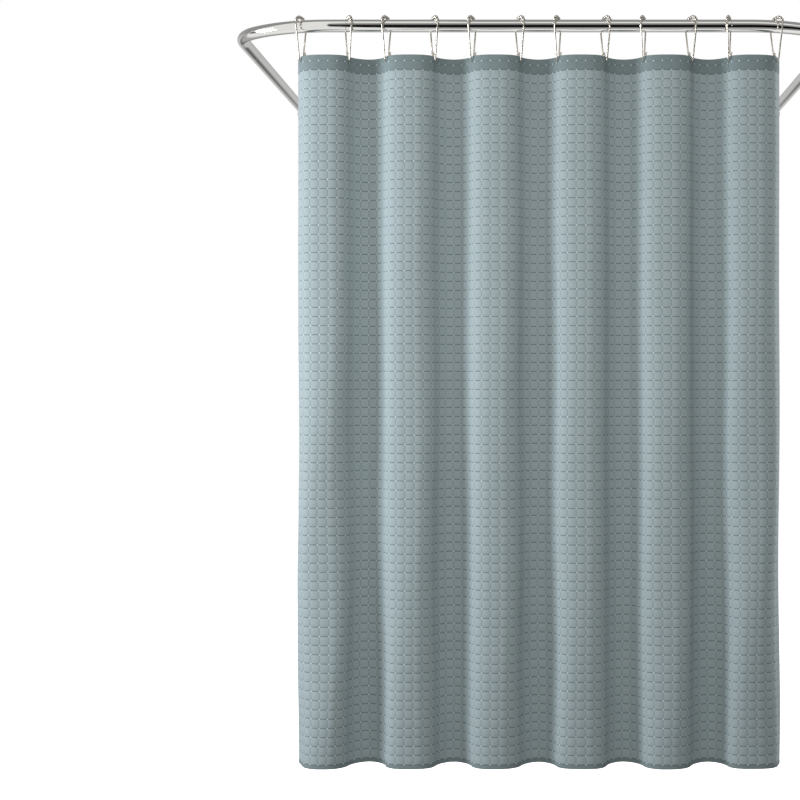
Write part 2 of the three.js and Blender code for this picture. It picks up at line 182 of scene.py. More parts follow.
# sizes that the pieces share, from the frame
frontLow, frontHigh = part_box("front_tube")
rodRadius = (frontHigh.z - frontLow.z) / 2
middleX = (frontHigh.x + frontLow.x) / 2
rodY = (frontHigh.y + frontLow.y) / 2
rodZ = (frontHigh.z + frontLow.z) / 2
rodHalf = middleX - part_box("side_tube_left")[0].x - rodRadius
hookCount = sum(n.startswith("hook_wire_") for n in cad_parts)
hookNames = [f"{n + 1:02d}" for n in range(hookCount)]
hookAt = np.array([(np.array(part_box(f"roller_balls_{n}")[0]) + np.array(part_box(f"roller_balls_{n}")[1])) / 2
                   for n in hookNames])
hookAt[:, 2] = rodZ
headerLow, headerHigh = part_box("header_hem")
bottomHemLow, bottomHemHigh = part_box("bottom_hem")


plating = {"smearSize": 18 * mm, "mottleSize": 3 * mm, "mottleDepth": 0.03 * mm}


def polishedChrome(name, colour, roughness, smear):
    # chrome plate on steel or brass: a hard mirror, with faint smears of water that only blur it a little
    material, tree = newMaterial(name)
    place = addNode(tree, "ShaderNodeTexCoord")
    spots = addNode(tree, "ShaderNodeTexNoise", {"Vector": place.outputs["Object"], "Detail": 3.0,
                                                 "Scale": 1 / plating["smearSize"], "Roughness": 0.6})
    blur = addNode(tree, "ShaderNodeMapRange", {"Value": spots.outputs["Fac"], "From Min": 0.35,
                                                "From Max": 0.75, "To Min": roughness,
                                                "To Max": roughness + smear})
    finishMaterial(tree, Base_Color=linearColour(colour), Metallic=1.0, Roughness=blur.outputs["Result"])
    return material


def zincSteel():
    # zinc-plated steel screws and sleeves, turned: dull grey with fine rings and a little mottling
    material, tree = newMaterial("zincPlatedSteel")
    place = addNode(tree, "ShaderNodeTexCoord")
    mottle = addNode(tree, "ShaderNodeTexNoise", {"Vector": place.outputs["Object"], "Detail": 4.0,
                                                  "Scale": 1 / plating["mottleSize"]})
    tone = mixColour(tree, mottle.outputs["Fac"], linearColour("#8E9092"), linearColour("#B4B6B6"))
    grain = addNode(tree, "ShaderNodeBump", {"Height": mottle.outputs["Fac"], "Strength": 0.4,
                                             "Distance": plating["mottleDepth"]})
    finishMaterial(tree, Base_Color=tone, Metallic=1.0, Roughness=0.36, Normal=grain.outputs["Normal"])
    return material


rodChrome = polishedChrome("rodChromePlate", "#E3E2DF", 0.035, 0.05)
fixingChrome = polishedChrome("fixingChromePlate", "#E3E2DF", 0.05, 0.06)
hookChrome = polishedChrome("hookNickelChrome", "#CFC8BC", 0.10, 0.08)
ballChrome = polishedChrome("rollerBallChrome", "#D6D1C8", 0.07, 0.06)
steel = zincSteel()


rod = {"wall": 1.2 * mm, "sweepRadius": 350 * mm, "sweepAngle": np.radians(35.5), "cornerRadius": 126 * mm,
       "sides": 64, "curveStep": 5 * mm, "edgeRound": 0.5 * mm, "screwHole": 2.35 * mm,
       "cutterReach": 8 * mm, "cutterSides": 24}


def cornerPath(side):
    # plan of a corner: straight lead, gentle sweep of one radius, tight bend of another, straight tail
    straightHalf = (rodHalf - rod["cornerRadius"]
                    - (rod["sweepRadius"] - rod["cornerRadius"]) * np.sin(rod["sweepAngle"]))
    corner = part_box(f"corner_tube_{'left' if side < 0 else 'right'}")
    inner = corner[1].x if side < 0 else corner[0].x
    lead = straightHalf - abs(inner - middleX)
    sweepLength = rod["sweepRadius"] * rod["sweepAngle"]
    bendLength = rod["cornerRadius"] * (np.pi / 2 - rod["sweepAngle"])
    sweepX = straightHalf + rod["sweepRadius"] * np.sin(rod["sweepAngle"])
    sweepY = rod["sweepRadius"] * (1 - np.cos(rod["sweepAngle"]))
    centreX = sweepX - rod["cornerRadius"] * np.sin(rod["sweepAngle"])
    centreY = sweepY + rod["cornerRadius"] * np.cos(rod["sweepAngle"])
    tail = corner[1].y - rodY - centreY
    total = lead + sweepLength + bendLength + tail
    along = np.linspace(0, total, int(total / rod["curveStep"]))
    along = np.sort(np.concatenate([along, [rod["edgeRound"], total - rod["edgeRound"]]]))
    sweepTurn = (along - lead) / rod["sweepRadius"]
    bendTurn = rod["sweepAngle"] + (along - lead - sweepLength) / rod["cornerRadius"]
    stretch = [along < lead, along < lead + sweepLength, along < lead + sweepLength + bendLength]
    x = np.select(stretch, [straightHalf - lead + along,
                            straightHalf + rod["sweepRadius"] * np.sin(sweepTurn),
                            centreX + rod["cornerRadius"] * np.sin(bendTurn)], rodHalf)
    y = np.select(stretch, [0 * along, rod["sweepRadius"] * (1 - np.cos(sweepTurn)),
                            centreY - rod["cornerRadius"] * np.cos(bendTurn)], centreY + along - total + tail)
    return np.stack([middleX + side * x, rodY + y, np.full_like(x, rodZ)], 1)


def straightPath(start, end):
    # a line with a point close to each end for the rounded rim
    start, end = np.array(start), np.array(end)
    length = np.linalg.norm(end - start)
    share = np.array([0, rod["edgeRound"] / length, 1 - rod["edgeRound"] / length, 1])
    return start + share[:, None] * (end - start)


def addTube(name, path, nodes, material, screws=()):
    # outer rings from end to end, rounded at the rims, then bore rings back to the start
    last = len(path) - 1
    at = np.concatenate([np.arange(last + 1), np.arange(last, -1, -1)])
    outer = np.full(last + 1, rodRadius)
    outer[[0, last]] -= rod["edgeRound"]
    radius = np.concatenate([outer, np.full(last + 1, rodRadius - rod["wall"])])
    rings = sweep(path, np.array([0.0, 0.0, 1.0]), radius, rod["sides"], at)
    faces = facesOutwards(rings, gridQuads(len(at), rod["sides"], True, True))
    piece = newPiece(name, rings, faces, material, sharpAngle=35)
    if screws:
        cutAway(piece, [screwCutter(s) for s in screws])
    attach(piece, "rod")
    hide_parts(*nodes)
    return piece


def turned(name, profile, centre, axis, material, sides=96, sharpAngle=30):
    # a profile of (radius, height) pairs turned about an axis: centre + radius (cos a, sin a) + height * axis
    axis = np.array(axis, float)
    first = np.cross(axis, [0.0, 0.0, 1.0] if abs(axis[2]) < 0.9 else [1.0, 0.0, 0.0])
    second = np.cross(axis, first)
    angle = 2 * np.pi * np.arange(sides) / sides
    radius, height = np.array(profile, float).T
    ring = np.cos(angle)[:, None] * first + np.sin(angle)[:, None] * second
    points = np.array(centre) + radius[:, None, None] * ring + height[:, None, None] * axis
    piece = newPiece(name, points, gridQuads(len(radius), sides, False, True), material)
    closeSeams(piece, 1e-7)
    piece.data.set_sharp_from_angle(angle=np.radians(sharpAngle))
    return piece


def screwCutter(node):
    # a pin a little wider than a set screw, where that screw stands
    low, high = (np.array(c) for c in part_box(node))
    centre = (low + high) / 2
    axis = np.zeros(3)
    axis[2 if node.startswith(("side", "hub")) else 1] = 1.0
    reach, radius = rod["cutterReach"], rod["screwHole"]
    return turned("cutter", [(0, -reach), (radius, -reach), (radius, reach), (0, reach)],
                  centre, axis, steel, rod["cutterSides"])


frontPath = straightPath((frontLow.x, rodY, rodZ), (frontHigh.x, rodY, rodZ))
addTube("frontTube", frontPath, ["front_tube"], rodChrome,
        ["front_set_screw_left_1", "front_set_screw_right_1"])
for side, hand in ((-1, "left"), (1, "right")):
    addTube(f"{hand}CornerTube", cornerPath(side), [f"corner_tube_{hand}"], rodChrome,
            [f"front_set_screw_{hand}_2", f"side_set_screw_{hand}_1"])
    low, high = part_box(f"side_tube_{hand}")
    sideX = middleX + side * rodHalf
    addTube(f"{hand}SideTube", straightPath((sideX, low.y, rodZ), (sideX, high.y, rodZ)),
            [f"side_tube_{hand}"], rodChrome, [f"side_set_screw_{hand}_2"])
print("rod tubes made")


fixing = {"hubBoreGap": 0.4 * mm, "hubWall": 3.6 * mm, "plateThickness": 4 * mm, "coverWall": 1.2 * mm,
          "coverHeight": 15 * mm, "slope": 3 * mm, "shoulder": 4 * mm, "round": 0.6 * mm,
          "screwHole": 2.25 * mm, "coverGap": 0.6 * mm, "coverLift": 0.3 * mm, "coverSide": 6 * mm}


def addWallFixing(side, hand):
    centre = (middleX + side * rodHalf, 0.0, rodZ)
    intoRoom = (0.0, -1.0, 0.0)
    low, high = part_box(f"wall_plate_{hand}")
    plateRadius = (high.x - low.x) / 2
    hubTop = -low.y
    bore = rodRadius + fixing["hubBoreGap"]
    hub = bore + fixing["hubWall"]
    flat, edge = fixing["plateThickness"], fixing["round"]
    plate = turned(f"{hand}WallPlate", [
        (0, 0), (plateRadius - edge, 0), (plateRadius, edge), (plateRadius, flat - edge),
        (plateRadius - edge, flat), (hub + edge, flat), (hub, flat + edge), (hub, hubTop - edge),
        (hub - edge, hubTop), (bore + edge, hubTop), (bore, hubTop - edge), (bore, flat), (0, flat),
    ], centre, intoRoom, fixingChrome)
    cutters = [screwCutter(f"hub_set_screw_{hand}")]
    hole = fixing["screwHole"]
    for n in (1, 2, 3):
        screwLow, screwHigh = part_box(f"wall_screw_{hand}_{n}")
        place = ((screwLow.x + screwHigh.x) / 2, 0.0, (screwLow.z + screwHigh.z) / 2)
        cutters.append(turned("cutter", [(0, -flat), (hole, -flat), (hole, 2 * flat), (0, 2 * flat)],
                              place, intoRoom, steel, rod["cutterSides"]))
    cutAway(plate, cutters)
    coverLow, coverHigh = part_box(f"wall_cover_{hand}")
    radius = (coverHigh.x - coverLow.x) / 2
    rim, wall, top = hub + fixing["coverGap"], fixing["coverWall"], fixing["coverHeight"]
    lift, sideTop, slopeAt = fixing["coverLift"], fixing["coverSide"], top - fixing["shoulder"]
    # quarter-round shoulder of the cover from its side wall to its sloping face
    turn = np.linspace(0, np.pi / 2, 9)
    outer = np.stack([radius - fixing["slope"] * (1 - np.cos(turn)),
                      sideTop + (slopeAt - sideTop) * np.sin(turn)], 1)
    face = np.stack([np.linspace(radius - fixing["slope"], rim + edge, 5)[1:],
                     slopeAt + (top - slopeAt) * np.sin(np.linspace(0, np.pi / 2, 5)[1:])], 1)
    profile = [(radius, lift), *outer.tolist(), *face.tolist(), (rim, top - edge), (rim, top - wall),
               *(face[::-1] - [0, wall]).tolist(), *(outer[::-1] - [wall, wall / 2]).tolist(),
               (radius - wall, lift), (radius, lift)]
    cover = turned(f"{hand}WallCover", profile, centre, intoRoom, fixingChrome)
    for piece, node in ((plate, "wall_plate"), (cover, "wall_cover")):
        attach(piece, "rod")
        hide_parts(f"{node}_{hand}")


addWallFixing(-1, "left")
addWallFixing(1, "right")
print("wall fixings made")

# screws and sleeves keep their CAD shape
for name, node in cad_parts.items():
    if "screw" in name or "sleeve" in name:
        node.data.materials.clear()
        node.data.materials.append(steel)


hook = {"footRadius": 11 * mm, "wireRadius": 2 * mm, "catchLength": 16 * mm, "catchGap": 0.6 * mm,
        "yawOdd": np.radians(-17), "yawEven": np.radians(24), "ballRadius": 4.5 * mm, "ballPitch": 9.2 * mm,
        "balls": 7, "rideGap": 1.2 * mm, "step": 1.5 * mm, "sides": 12, "ballSides": 16,
        "boreRadius": 2.5 * mm, "playRoom": 0.2 * mm, "rearShort": 6 * mm, "tip": 0.001 * mm}
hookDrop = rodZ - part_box("hook_wire_01")[0].z - hook["wireRadius"]
endSetback = hookAt[0, 1] - hookAt[1, 1]
archRadius = rodRadius + hook["ballRadius"] + hook["rideGap"]
sidePlay = endSetback + hook["playRoom"]


def archPoint(along):
    # over the rod: a flat of sidePlay each way and then a circle, stretched across for the hook's turn
    past = np.maximum(0, np.abs(along) - sidePlay) / archRadius
    y = np.sign(along) * (np.minimum(np.abs(along), sidePlay) + archRadius * np.sin(past))
    return np.stack([0 * y, y / np.cos(hook["yawEven"]), archRadius * np.cos(past)], -1)


def evenSteps(points, step):
    # the same polyline with its points a step apart
    run = np.concatenate([[0], np.cumsum(np.linalg.norm(np.diff(points, axis=0), axis=1))])
    along = np.linspace(0, run[-1], int(run[-1] / step) + 1)
    return np.stack([np.interp(along, run, points[:, i]) for i in range(3)], 1)


def wirePath():
    # rear leg up, arch over the rod, front leg down, half circle at the foot, free end beside the rear leg;
    # then each point is averaged with its neighbours, which rounds the joins between the stretches
    quarter = sidePlay + archRadius * np.pi / 2
    arch = archPoint(np.linspace(quarter, -quarter, 60))
    footZ = -hookDrop + hook["footRadius"]
    reach = arch[0, 1]
    legY = lambda z: reach + (hook["footRadius"] - reach) * z / footZ
    catchTop = footZ + hook["catchLength"]
    lift = 2 * hook["wireRadius"] + hook["catchGap"]
    rearZ = np.linspace(catchTop - hook["rearShort"], 0, 40)[:-1]
    rear = np.stack([0 * rearZ, legY(rearZ), rearZ], 1)
    frontZ = np.linspace(0, footZ, 40)[1:-1]
    front = np.stack([0 * frontZ, -legY(frontZ), frontZ], 1)
    turn = np.linspace(0, np.pi, 40)
    foot = np.stack([lift * np.clip((turn / np.pi - 2 / 3) * 3, 0, 1), -hook["footRadius"] * np.cos(turn),
                     footZ - hook["footRadius"] * np.sin(turn)], 1)
    free = np.array([[lift, legY(catchTop), catchTop]])
    path = evenSteps(np.concatenate([rear, arch, front, foot, free]), hook["step"])
    reachCount = 5
    padded = np.concatenate([np.repeat(path[:1], reachCount, 0), path, np.repeat(path[-1:], reachCount, 0)])
    kernel = np.hanning(2 * reachCount + 3)[1:-1]
    kernel /= kernel.sum()
    smooth = np.stack([np.convolve(padded[:, i], kernel, "valid") for i in range(3)], 1)
    smooth[0], smooth[-1] = path[0], path[-1]
    return smooth


def turnedToHook(points, n):
    # from a hook's own plane to its place on the rod
    yaw = hook["yawOdd"] if n % 2 == 0 else hook["yawEven"]
    x, y, z = points[..., 0], points[..., 1], points[..., 2]
    return np.stack([x * np.cos(yaw) - y * np.sin(yaw), x * np.sin(yaw) + y * np.cos(yaw), z], -1) + hookAt[n]


def wireRings():
    # a round wire with domed ends: the first and last rings shrink as a circle does
    path = wirePath()
    thick, tip = hook["wireRadius"], hook["tip"]
    dome = np.sin(np.linspace(0, np.pi / 2, 4))
    share = np.cos(np.linspace(0, np.pi / 2, 4))[:3, None]
    radius = np.full(len(path), thick)
    start = path[0] - (path[1] - path[0]) / np.linalg.norm(path[1] - path[0]) * thick
    end = path[-1] + (path[-1] - path[-2]) / np.linalg.norm(path[-1] - path[-2]) * thick
    startDome = start * share + path[0] * (1 - share)
    endDome = (end * share + path[-1] * (1 - share))[::-1]
    path = np.concatenate([startDome, path, endDome])
    radius = np.concatenate([dome[:3] * thick + tip, radius, dome[2::-1] * thick + tip])
    return sweep(path, np.array([1.0, 0.0, 0.0]), radius, hook["sides"])


def ballRings():
    # each ball is a sphere cut by its bore: the profile goes over the ball and back through the bore
    edge = np.arcsin(hook["boreRadius"] / hook["ballRadius"])
    turn = np.linspace(edge, np.pi - edge, 13)
    radius = np.append(hook["ballRadius"] * np.sin(turn), hook["boreRadius"])
    height = np.append(-hook["ballRadius"] * np.cos(turn), 0)
    along = (np.arange(hook["balls"]) - (hook["balls"] - 1) / 2) * hook["ballPitch"]
    centre = archPoint(along)
    tangent = archPoint(along + 0.1 * mm) - archPoint(along - 0.1 * mm)
    tangent /= np.linalg.norm(tangent, axis=1, keepdims=True)
    across = np.array([1.0, 0.0, 0.0])
    outwards = np.cross(tangent, across)
    angle = 2 * np.pi * np.arange(hook["ballSides"]) / hook["ballSides"]
    ring = np.cos(angle)[:, None] * across + np.sin(angle)[:, None] * outwards[:, None]
    return (centre[:, None, None] + height[None, :, None, None] * tangent[:, None, None]
            + radius[None, :, None, None] * ring[:, None])


wire = wireRings()
wireFaces = gridQuads(wire.shape[0], hook["sides"], False, True)
oneRing = np.arange(hook["sides"])
wireEnds = np.stack([oneRing[::-1], (wire.shape[0] - 1) * hook["sides"] + oneRing])
balls = ballRings()
oneBall = gridQuads(balls.shape[1], hook["ballSides"], True, True)
ballPoints = balls.shape[1] * hook["ballSides"]
ballFaces = (oneBall[None] + ballPoints * np.arange(hook["balls"])[:, None, None]).reshape(-1, 4)
for n, number in enumerate(hookNames):
    wirePiece = newPiece(f"hookWire{number}", turnedToHook(wire, n), [wireFaces, wireEnds], hookChrome)
    closeSeams(wirePiece, 1e-7)
    ballPiece = newPiece(f"rollerBalls{number}", turnedToHook(balls, n), ballFaces, ballChrome)
    closeSeams(ballPiece, 1e-7)
    ballPiece.data.set_sharp_from_angle(angle=np.radians(50))
    for piece, node, slot in ((wirePiece, "hook_wire", "hook_chrome"),
                              (ballPiece, "roller_balls", "roller_chrome")):
        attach(piece, f"hook_{number}")
        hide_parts(f"{node}_{number}")
print("hooks made:", hookCount)


cloth = {"flatWidth": 1829 * mm, "holePitch": 152.4 * mm, "cell": 23.4 * mm, "flankAngle": np.radians(77),
         "topDepth": 53 * mm, "bottomDepth": 66 * mm, "panelThickness": 1.1 * mm, "hemThickness": 2.4 * mm,
         "pillowRise": 0.34 * mm, "grooveHalf": 1.3 * mm, "edgeReach": 20 * mm, "sideHem": 19 * mm,
         "slitWidth": 4.4 * mm, "slitHeight": 24 * mm, "slitBelowTop": 11 * mm,
         "sway": 1.6 * mm, "push": 1.3 * mm, "gatherLeft": 520 * mm, "gatherKeep": 0.34,
         "edgePoints": ((14, 46), (-32, 52)), "waves": 6}
hem = {"stitchDent": 0.45 * mm, "stitchWidth": 0.7 * mm, "bindingRise": 0.35 * mm, "bindingWidth": 1.6 * mm,
       "bindingStop": 2 * mm, "slitClear": 1.7 * mm, "seamUp": 3 * mm, "stitchDown": 2 * mm,
       "longStep": 5.85 * mm, "headerStep": 4 * mm, "narrowStep": 2.5 * mm, "sideStep": 11.7 * mm}
flatHeight = headerHigh.z - bottomHemLow.z
firstHole = (cloth["flatWidth"] - (hookCount - 1) * cloth["holePitch"]) / 2


def spanPower(width):
    # the slope across a span goes as flankAngle * (1 - 2t)^power; this is the power whose run is the width
    share = np.linspace(0, 1, 2001)
    low, high = 0.3, 6.0
    for _ in range(40):
        middle = (low + high) / 2
        run = np.cos(cloth["flankAngle"] * share**middle).mean()
        low, high = (middle, high) if run < width / cloth["holePitch"] else (low, middle)
    return middle


def edgeCurve(slope):
    # the turned-back edge beyond an end hook, from the free edge to the hook: a cubic Bezier
    corner = np.array(cloth["edgePoints"]) * mm
    reach = cloth["edgeReach"] * np.array([-np.cos(slope), np.sin(slope)])
    control = np.concatenate([corner, [reach], [[0, 0]]])
    t = np.linspace(0, 1, 200)[:, None]
    curve = ((1 - t) ** 3 * control[0] + 3 * t * (1 - t) ** 2 * control[1] + 3 * t**2 * (1 - t) * control[2]
             + t**3 * control[3])
    run = np.concatenate([[0], np.cumsum(np.linalg.norm(np.diff(curve, axis=0), axis=1))])
    return run / run[-1], curve


def plan(u, depth):
    # plan of the cloth for flat places u (one row) and fold depths (one column): x and y of every point.
    # Between hooks the slope falls from flankAngle to zero at the fold's crest and on to -flankAngle, x is
    # the running sum of its cosine and y of its sine, scaled so that crest to crest is the wanted depth.
    fine = np.linspace(firstHole, cloth["flatWidth"] - firstHole, 6001)
    place = (fine - firstHole) / cloth["holePitch"]
    span = np.minimum(place.astype(int), hookCount - 2)
    turn = 1 - 2 * (place - span)
    ridge = span % 2 == 0
    widths = np.diff(hookAt[:, 0])
    power = np.where(ridge, spanPower(widths[0]), spanPower(widths[1]))
    slope = np.where(ridge, -1, 1) * cloth["flankAngle"] * np.sign(turn) * np.abs(turn) ** power
    step = fine[1] - fine[0]
    runX = np.concatenate([[0], np.cumsum(np.cos((slope[1:] + slope[:-1]) / 2)) * step])
    runY = np.concatenate([[0], np.cumsum(np.sin((slope[1:] + slope[:-1]) / 2)) * step])
    holes = firstHole + cloth["holePitch"] * np.arange(hookCount)
    runX += np.interp(fine, holes, hookAt[:, 0] - np.interp(holes, fine, runX))
    runY -= np.interp(fine, holes, np.interp(holes, fine, runY))
    natural = runY.max() - runY.min()
    squeeze = depth / natural
    x = np.interp(u, fine, runX) + 0 * depth
    y = np.interp(u, fine, runY) * squeeze
    middleDepth = (cloth["topDepth"] + cloth["bottomDepth"]) / 2
    share, curve = edgeCurve(np.arctan(np.tan(cloth["flankAngle"]) * middleDepth / natural))
    for end, mirror in ((0, 1), (hookCount - 1, -1)):
        beyond = u < firstHole if end == 0 else u > cloth["flatWidth"] - firstHole
        distance = u / firstHole if end == 0 else (cloth["flatWidth"] - u) / firstHole
        x = np.where(beyond, hookAt[end, 0] + mirror * np.interp(distance, share, curve[:, 0]), x)
        y = np.where(beyond, np.interp(distance, share, curve[:, 1]) + 0 * depth, y)
    ends = np.clip((firstHole + cloth["holePitch"] - u) / cloth["holePitch"], 0, 1) ** 2
    ends += np.clip((u - cloth["flatWidth"] + firstHole + cloth["holePitch"]) / cloth["holePitch"], 0, 1) ** 2
    return x, rodY + y + endSetback * np.minimum(ends, 1)


def hanging(u, z):
    # the cloth's middle surface and the direction out of its front, for flat places u and heights z
    u, z = np.asarray(u)[None, :], np.asarray(z)[:, None]
    drop = np.clip((headerHigh.z - z) / flatHeight, 0, 1)
    depth = cloth["topDepth"] + (cloth["bottomDepth"] - cloth["topDepth"]) * drop
    x, y = plan(u, depth)
    random = np.random.default_rng(7)
    sway = np.zeros_like(x)
    push = np.zeros_like(x)
    # slow waves of the hanging folds, growing from nothing at the hooks
    for _ in range(cloth["waves"]):
        across, down = random.uniform(2, 9), random.uniform(0.6, 2.6)
        phase, share = random.uniform(0, 2 * np.pi), random.uniform(0.4, 1)
        turn = 2 * np.pi * (across * u / cloth["flatWidth"] + down * drop) + phase
        sway += share * np.sin(turn) * cloth["sway"] * drop
        push += share * np.cos(turn) * cloth["push"] * drop
    x, y = x + sway, y + push
    alongX, alongY = np.gradient(x, u[0], axis=1), np.gradient(y, u[0], axis=1)
    size = np.hypot(alongX, alongY)
    out = np.stack([alongY / size, -alongX / size, 0 * size], -1)
    return np.stack([x, y, z + 0 * x], -1), out


def cellLines(start, end, inner):
    # grid lines from start to end: each cell's sunken line and its inner lines
    first, last = int(np.floor(start / cloth["cell"])), int(np.ceil(end / cloth["cell"]))
    lines = (np.arange(first, last + 1)[:, None] * cloth["cell"] + np.array([0, *inner])).ravel()
    lines = lines[(lines > start + 0.5 * mm) & (lines < end - 0.5 * mm)]
    return np.concatenate([[start], lines, [end]])


def pillow(place):
    # 0 on a sunken line, rising to 1 a groove's half width away
    offset = np.abs((place / cloth["cell"] + 0.5) % 1 - 0.5) * cloth["cell"]
    return np.clip(offset / cloth["grooveHalf"], 0, 1)


def shell(name, u, z, rise, stopsU, stopsZ, material):
    # a closed sheet: a fine front skin that stands "rise" proud and a coarse back skin on some of the same
    # lines, joined round the rim by one face for each coarse step
    surface, out = hanging(u, z)
    half = cloth["panelThickness"] / 2
    front = surface + out * (half + rise)[..., None]
    pick = np.ix_(stopsZ, stopsU)
    back = surface[pick] - out[pick] * half
    numbers = np.arange(len(z) * len(u)).reshape(len(z), len(u))
    behind = numbers.size + np.arange(back.shape[0] * back.shape[1]).reshape(back.shape[:2])
    faces = [gridQuads(*numbers.shape), numbers.size + gridQuads(*behind.shape)[:, ::-1]]
    for fineLine, coarseLine, stops, flip in ((numbers[0], behind[0], stopsU, True),
                                              (numbers[-1], behind[-1], stopsU, False),
                                              (numbers[:, 0], behind[:, 0], stopsZ, False),
                                              (numbers[:, -1], behind[:, -1], stopsZ, True)):
        gaps = np.diff(stops)
        for count in np.unique(gaps):
            first = np.flatnonzero(gaps == count)
            fine = fineLine[stops[first][:, None] + np.arange(count + 1)]
            face = np.concatenate([fine, coarseLine[first + 1][:, None], coarseLine[first][:, None]], 1)
            faces.append(face[:, ::-1] if flip else face)
    uv = np.stack(np.meshgrid(u, headerLow.z - z), -1)
    uv = np.concatenate([uv.reshape(-1, 2), uv[pick].reshape(-1, 2)])
    points = np.concatenate([front.reshape(-1, 3), back.reshape(-1, 3)])
    return newPiece(name, points, faces, material, uv)


def addPanel(material):
    # woven panel: every cell is a pillow between sunken lines, real relief on the front
    groove, cell = cloth["grooveHalf"], cloth["cell"]
    u = cellLines(cloth["sideHem"], cloth["flatWidth"] - cloth["sideHem"], [groove, cell / 2, cell - groove])
    down = cellLines(0.0, headerLow.z - bottomHemHigh.z, [groove, cell - groove])
    z = headerLow.z - down[::-1]
    rise = cloth["pillowRise"] * np.minimum(pillow(u)[None, :], pillow(headerLow.z - z)[:, None])
    stopsU = np.append(np.arange(0, len(u) - 1, 2), len(u) - 1)
    stopsZ = np.append(np.arange(0, len(z) - 1, 3), len(z) - 1)
    return shell("curtainPanel", u, z, rise, stopsU, stopsZ, material)


def rounded(distance, radius):
    # quarter circle: 0 at an edge, 1 from one radius in
    return np.sqrt(np.clip(1 - (1 - np.clip(distance / radius, 0, 1)) ** 2, 0, 1))


def band(name, u, z, material, stitches=(), slits=None):
    # a doubled hem: front and back skins that meet in rounded edges, with a dent along each stitch line.
    # A slit leaves out the faces inside it, and walls join the two skins round it.
    half = cloth["hemThickness"] / 2
    surface, out = hanging(u, z)
    edgeU = np.minimum(u - u[0], u[-1] - u)
    edgeZ = np.minimum(z - z[0], z[-1] - z)
    height = half * rounded(edgeZ, half)[:, None] * rounded(edgeU, half)[None, :]
    for line in stitches:
        height -= hem["stitchDent"] * np.exp(-(((z - line) / hem["stitchWidth"]) ** 2))[:, None]
    rows, columns = len(z), len(u)
    quads = gridQuads(rows, columns)
    walls = []
    if slits is not None:
        left, right, low, high = slits
        nearU = np.maximum(left[None, :] - u[:, None], u[:, None] - right[None, :]).min(1)
        nearZ = np.maximum(low - z, z - high)
        near = np.maximum(nearU[None, :], nearZ[:, None])
        binding = np.clip(1 - near / hem["bindingWidth"], 0, 1)
        height += hem["bindingRise"] * binding * (edgeZ > hem["bindingStop"])[:, None]
        r, c = quads[:, 0] // columns, quads[:, 0] % columns
        middleU, middleZ = (u[c] + u[c + 1]) / 2, (z[r] + z[r + 1]) / 2
        inside = ((middleU[:, None] > left) & (middleU[:, None] < right)).any(1)
        inside &= (middleZ > low) & (middleZ < high)
        quads = quads[~inside]
        lefts, rights = np.searchsorted(u, left - 1e-6), np.searchsorted(u, right - 1e-6)
        rowIds = np.arange(np.searchsorted(z, low - 1e-6), np.searchsorted(z, high - 1e-6) + 1)
        for a, b in zip(lefts, rights):
            across = np.arange(a, b + 1)
            loop = np.concatenate([rowIds[0] * columns + across, rowIds[1:] * columns + b,
                                   rowIds[-1] * columns + across[-2::-1], rowIds[-2:0:-1] * columns + a])
            ahead = np.roll(loop, -1)
            walls.append(np.stack([loop, ahead, ahead + rows * columns, loop + rows * columns], 1))
    front, back = surface + out * height[..., None], surface - out * height[..., None]
    faces = [quads, rows * columns + quads[:, ::-1], *walls]
    uv = np.stack(np.meshgrid(u, headerLow.z - z), -1).reshape(-1, 2)
    points = np.concatenate([front.reshape(-1, 3), back.reshape(-1, 3)])
    piece = newPiece(name, points, faces, material, np.concatenate([uv, uv]))
    closeSeams(piece)
    return piece


def bandLines(start, end, step, extra=()):
    # even lines from start to end, close ones for the rounded edges, and any extra ones
    half = cloth["hemThickness"] / 2
    even = np.linspace(start, end, max(3, int((end - start) / step) + 1))
    even = even[(even > start + 1.2 * half) & (even < end - 1.2 * half)]
    edges = np.array([0, 0.15, 0.5, 1.0]) * half
    lines = np.concatenate([start + edges, even, end - edges, np.ravel(extra)])
    lines = np.unique(np.round(lines, 7))
    keep = np.concatenate([[True], np.diff(lines) > 0.05 * mm])
    return lines[keep]


def addHems(material):
    holes = firstHole + cloth["holePitch"] * np.arange(hookCount)
    slitHalf = cloth["slitWidth"] / 2
    slitTop = headerHigh.z - cloth["slitBelowTop"]
    slitLow = slitTop - cloth["slitHeight"]
    width, binding = cloth["flatWidth"], hem["bindingWidth"]
    seam = headerLow.z + hem["seamUp"]
    aroundSlit = holes[:, None] + np.array([-slitHalf - binding, -slitHalf, 0, slitHalf, slitHalf + binding])
    u = bandLines(0.0, width, hem["longStep"], aroundSlit)
    clear = np.abs(u[:, None] - holes).min(1) > slitHalf + hem["slitClear"]
    exact = np.isin(np.round(u, 7), np.round(aroundSlit.ravel(), 7))
    u = u[clear | exact]
    stitchRows = seam + np.array([-1.2, -0.6, 0, 0.6, 1.2]) * mm
    slitRows = [slitLow - binding, slitLow, slitTop, slitTop + binding]
    z = bandLines(headerLow.z, headerHigh.z, hem["headerStep"], [*stitchRows, *slitRows])
    slits = (holes - slitHalf, holes + slitHalf, slitLow, slitTop)
    header = band("headerHem", u, z, material, [seam], slits)
    stitch = bottomHemHigh.z - hem["stitchDown"]
    stitchRows = stitch + np.array([-1.0, -0.5, 0, 0.5, 1.0]) * mm
    z = bandLines(bottomHemLow.z, bottomHemHigh.z, hem["narrowStep"], stitchRows)
    bottom = band("bottomHem", bandLines(0.0, width, hem["longStep"]), z, material, [stitch])
    z = bandLines(bottomHemHigh.z, headerLow.z, hem["sideStep"])
    left = band("leftSideHem", bandLines(0.0, cloth["sideHem"], hem["narrowStep"]), z, material)
    u = bandLines(width - cloth["sideHem"], width, hem["narrowStep"])
    right = band("rightSideHem", u, z, material)
    return header, bottom, left, right


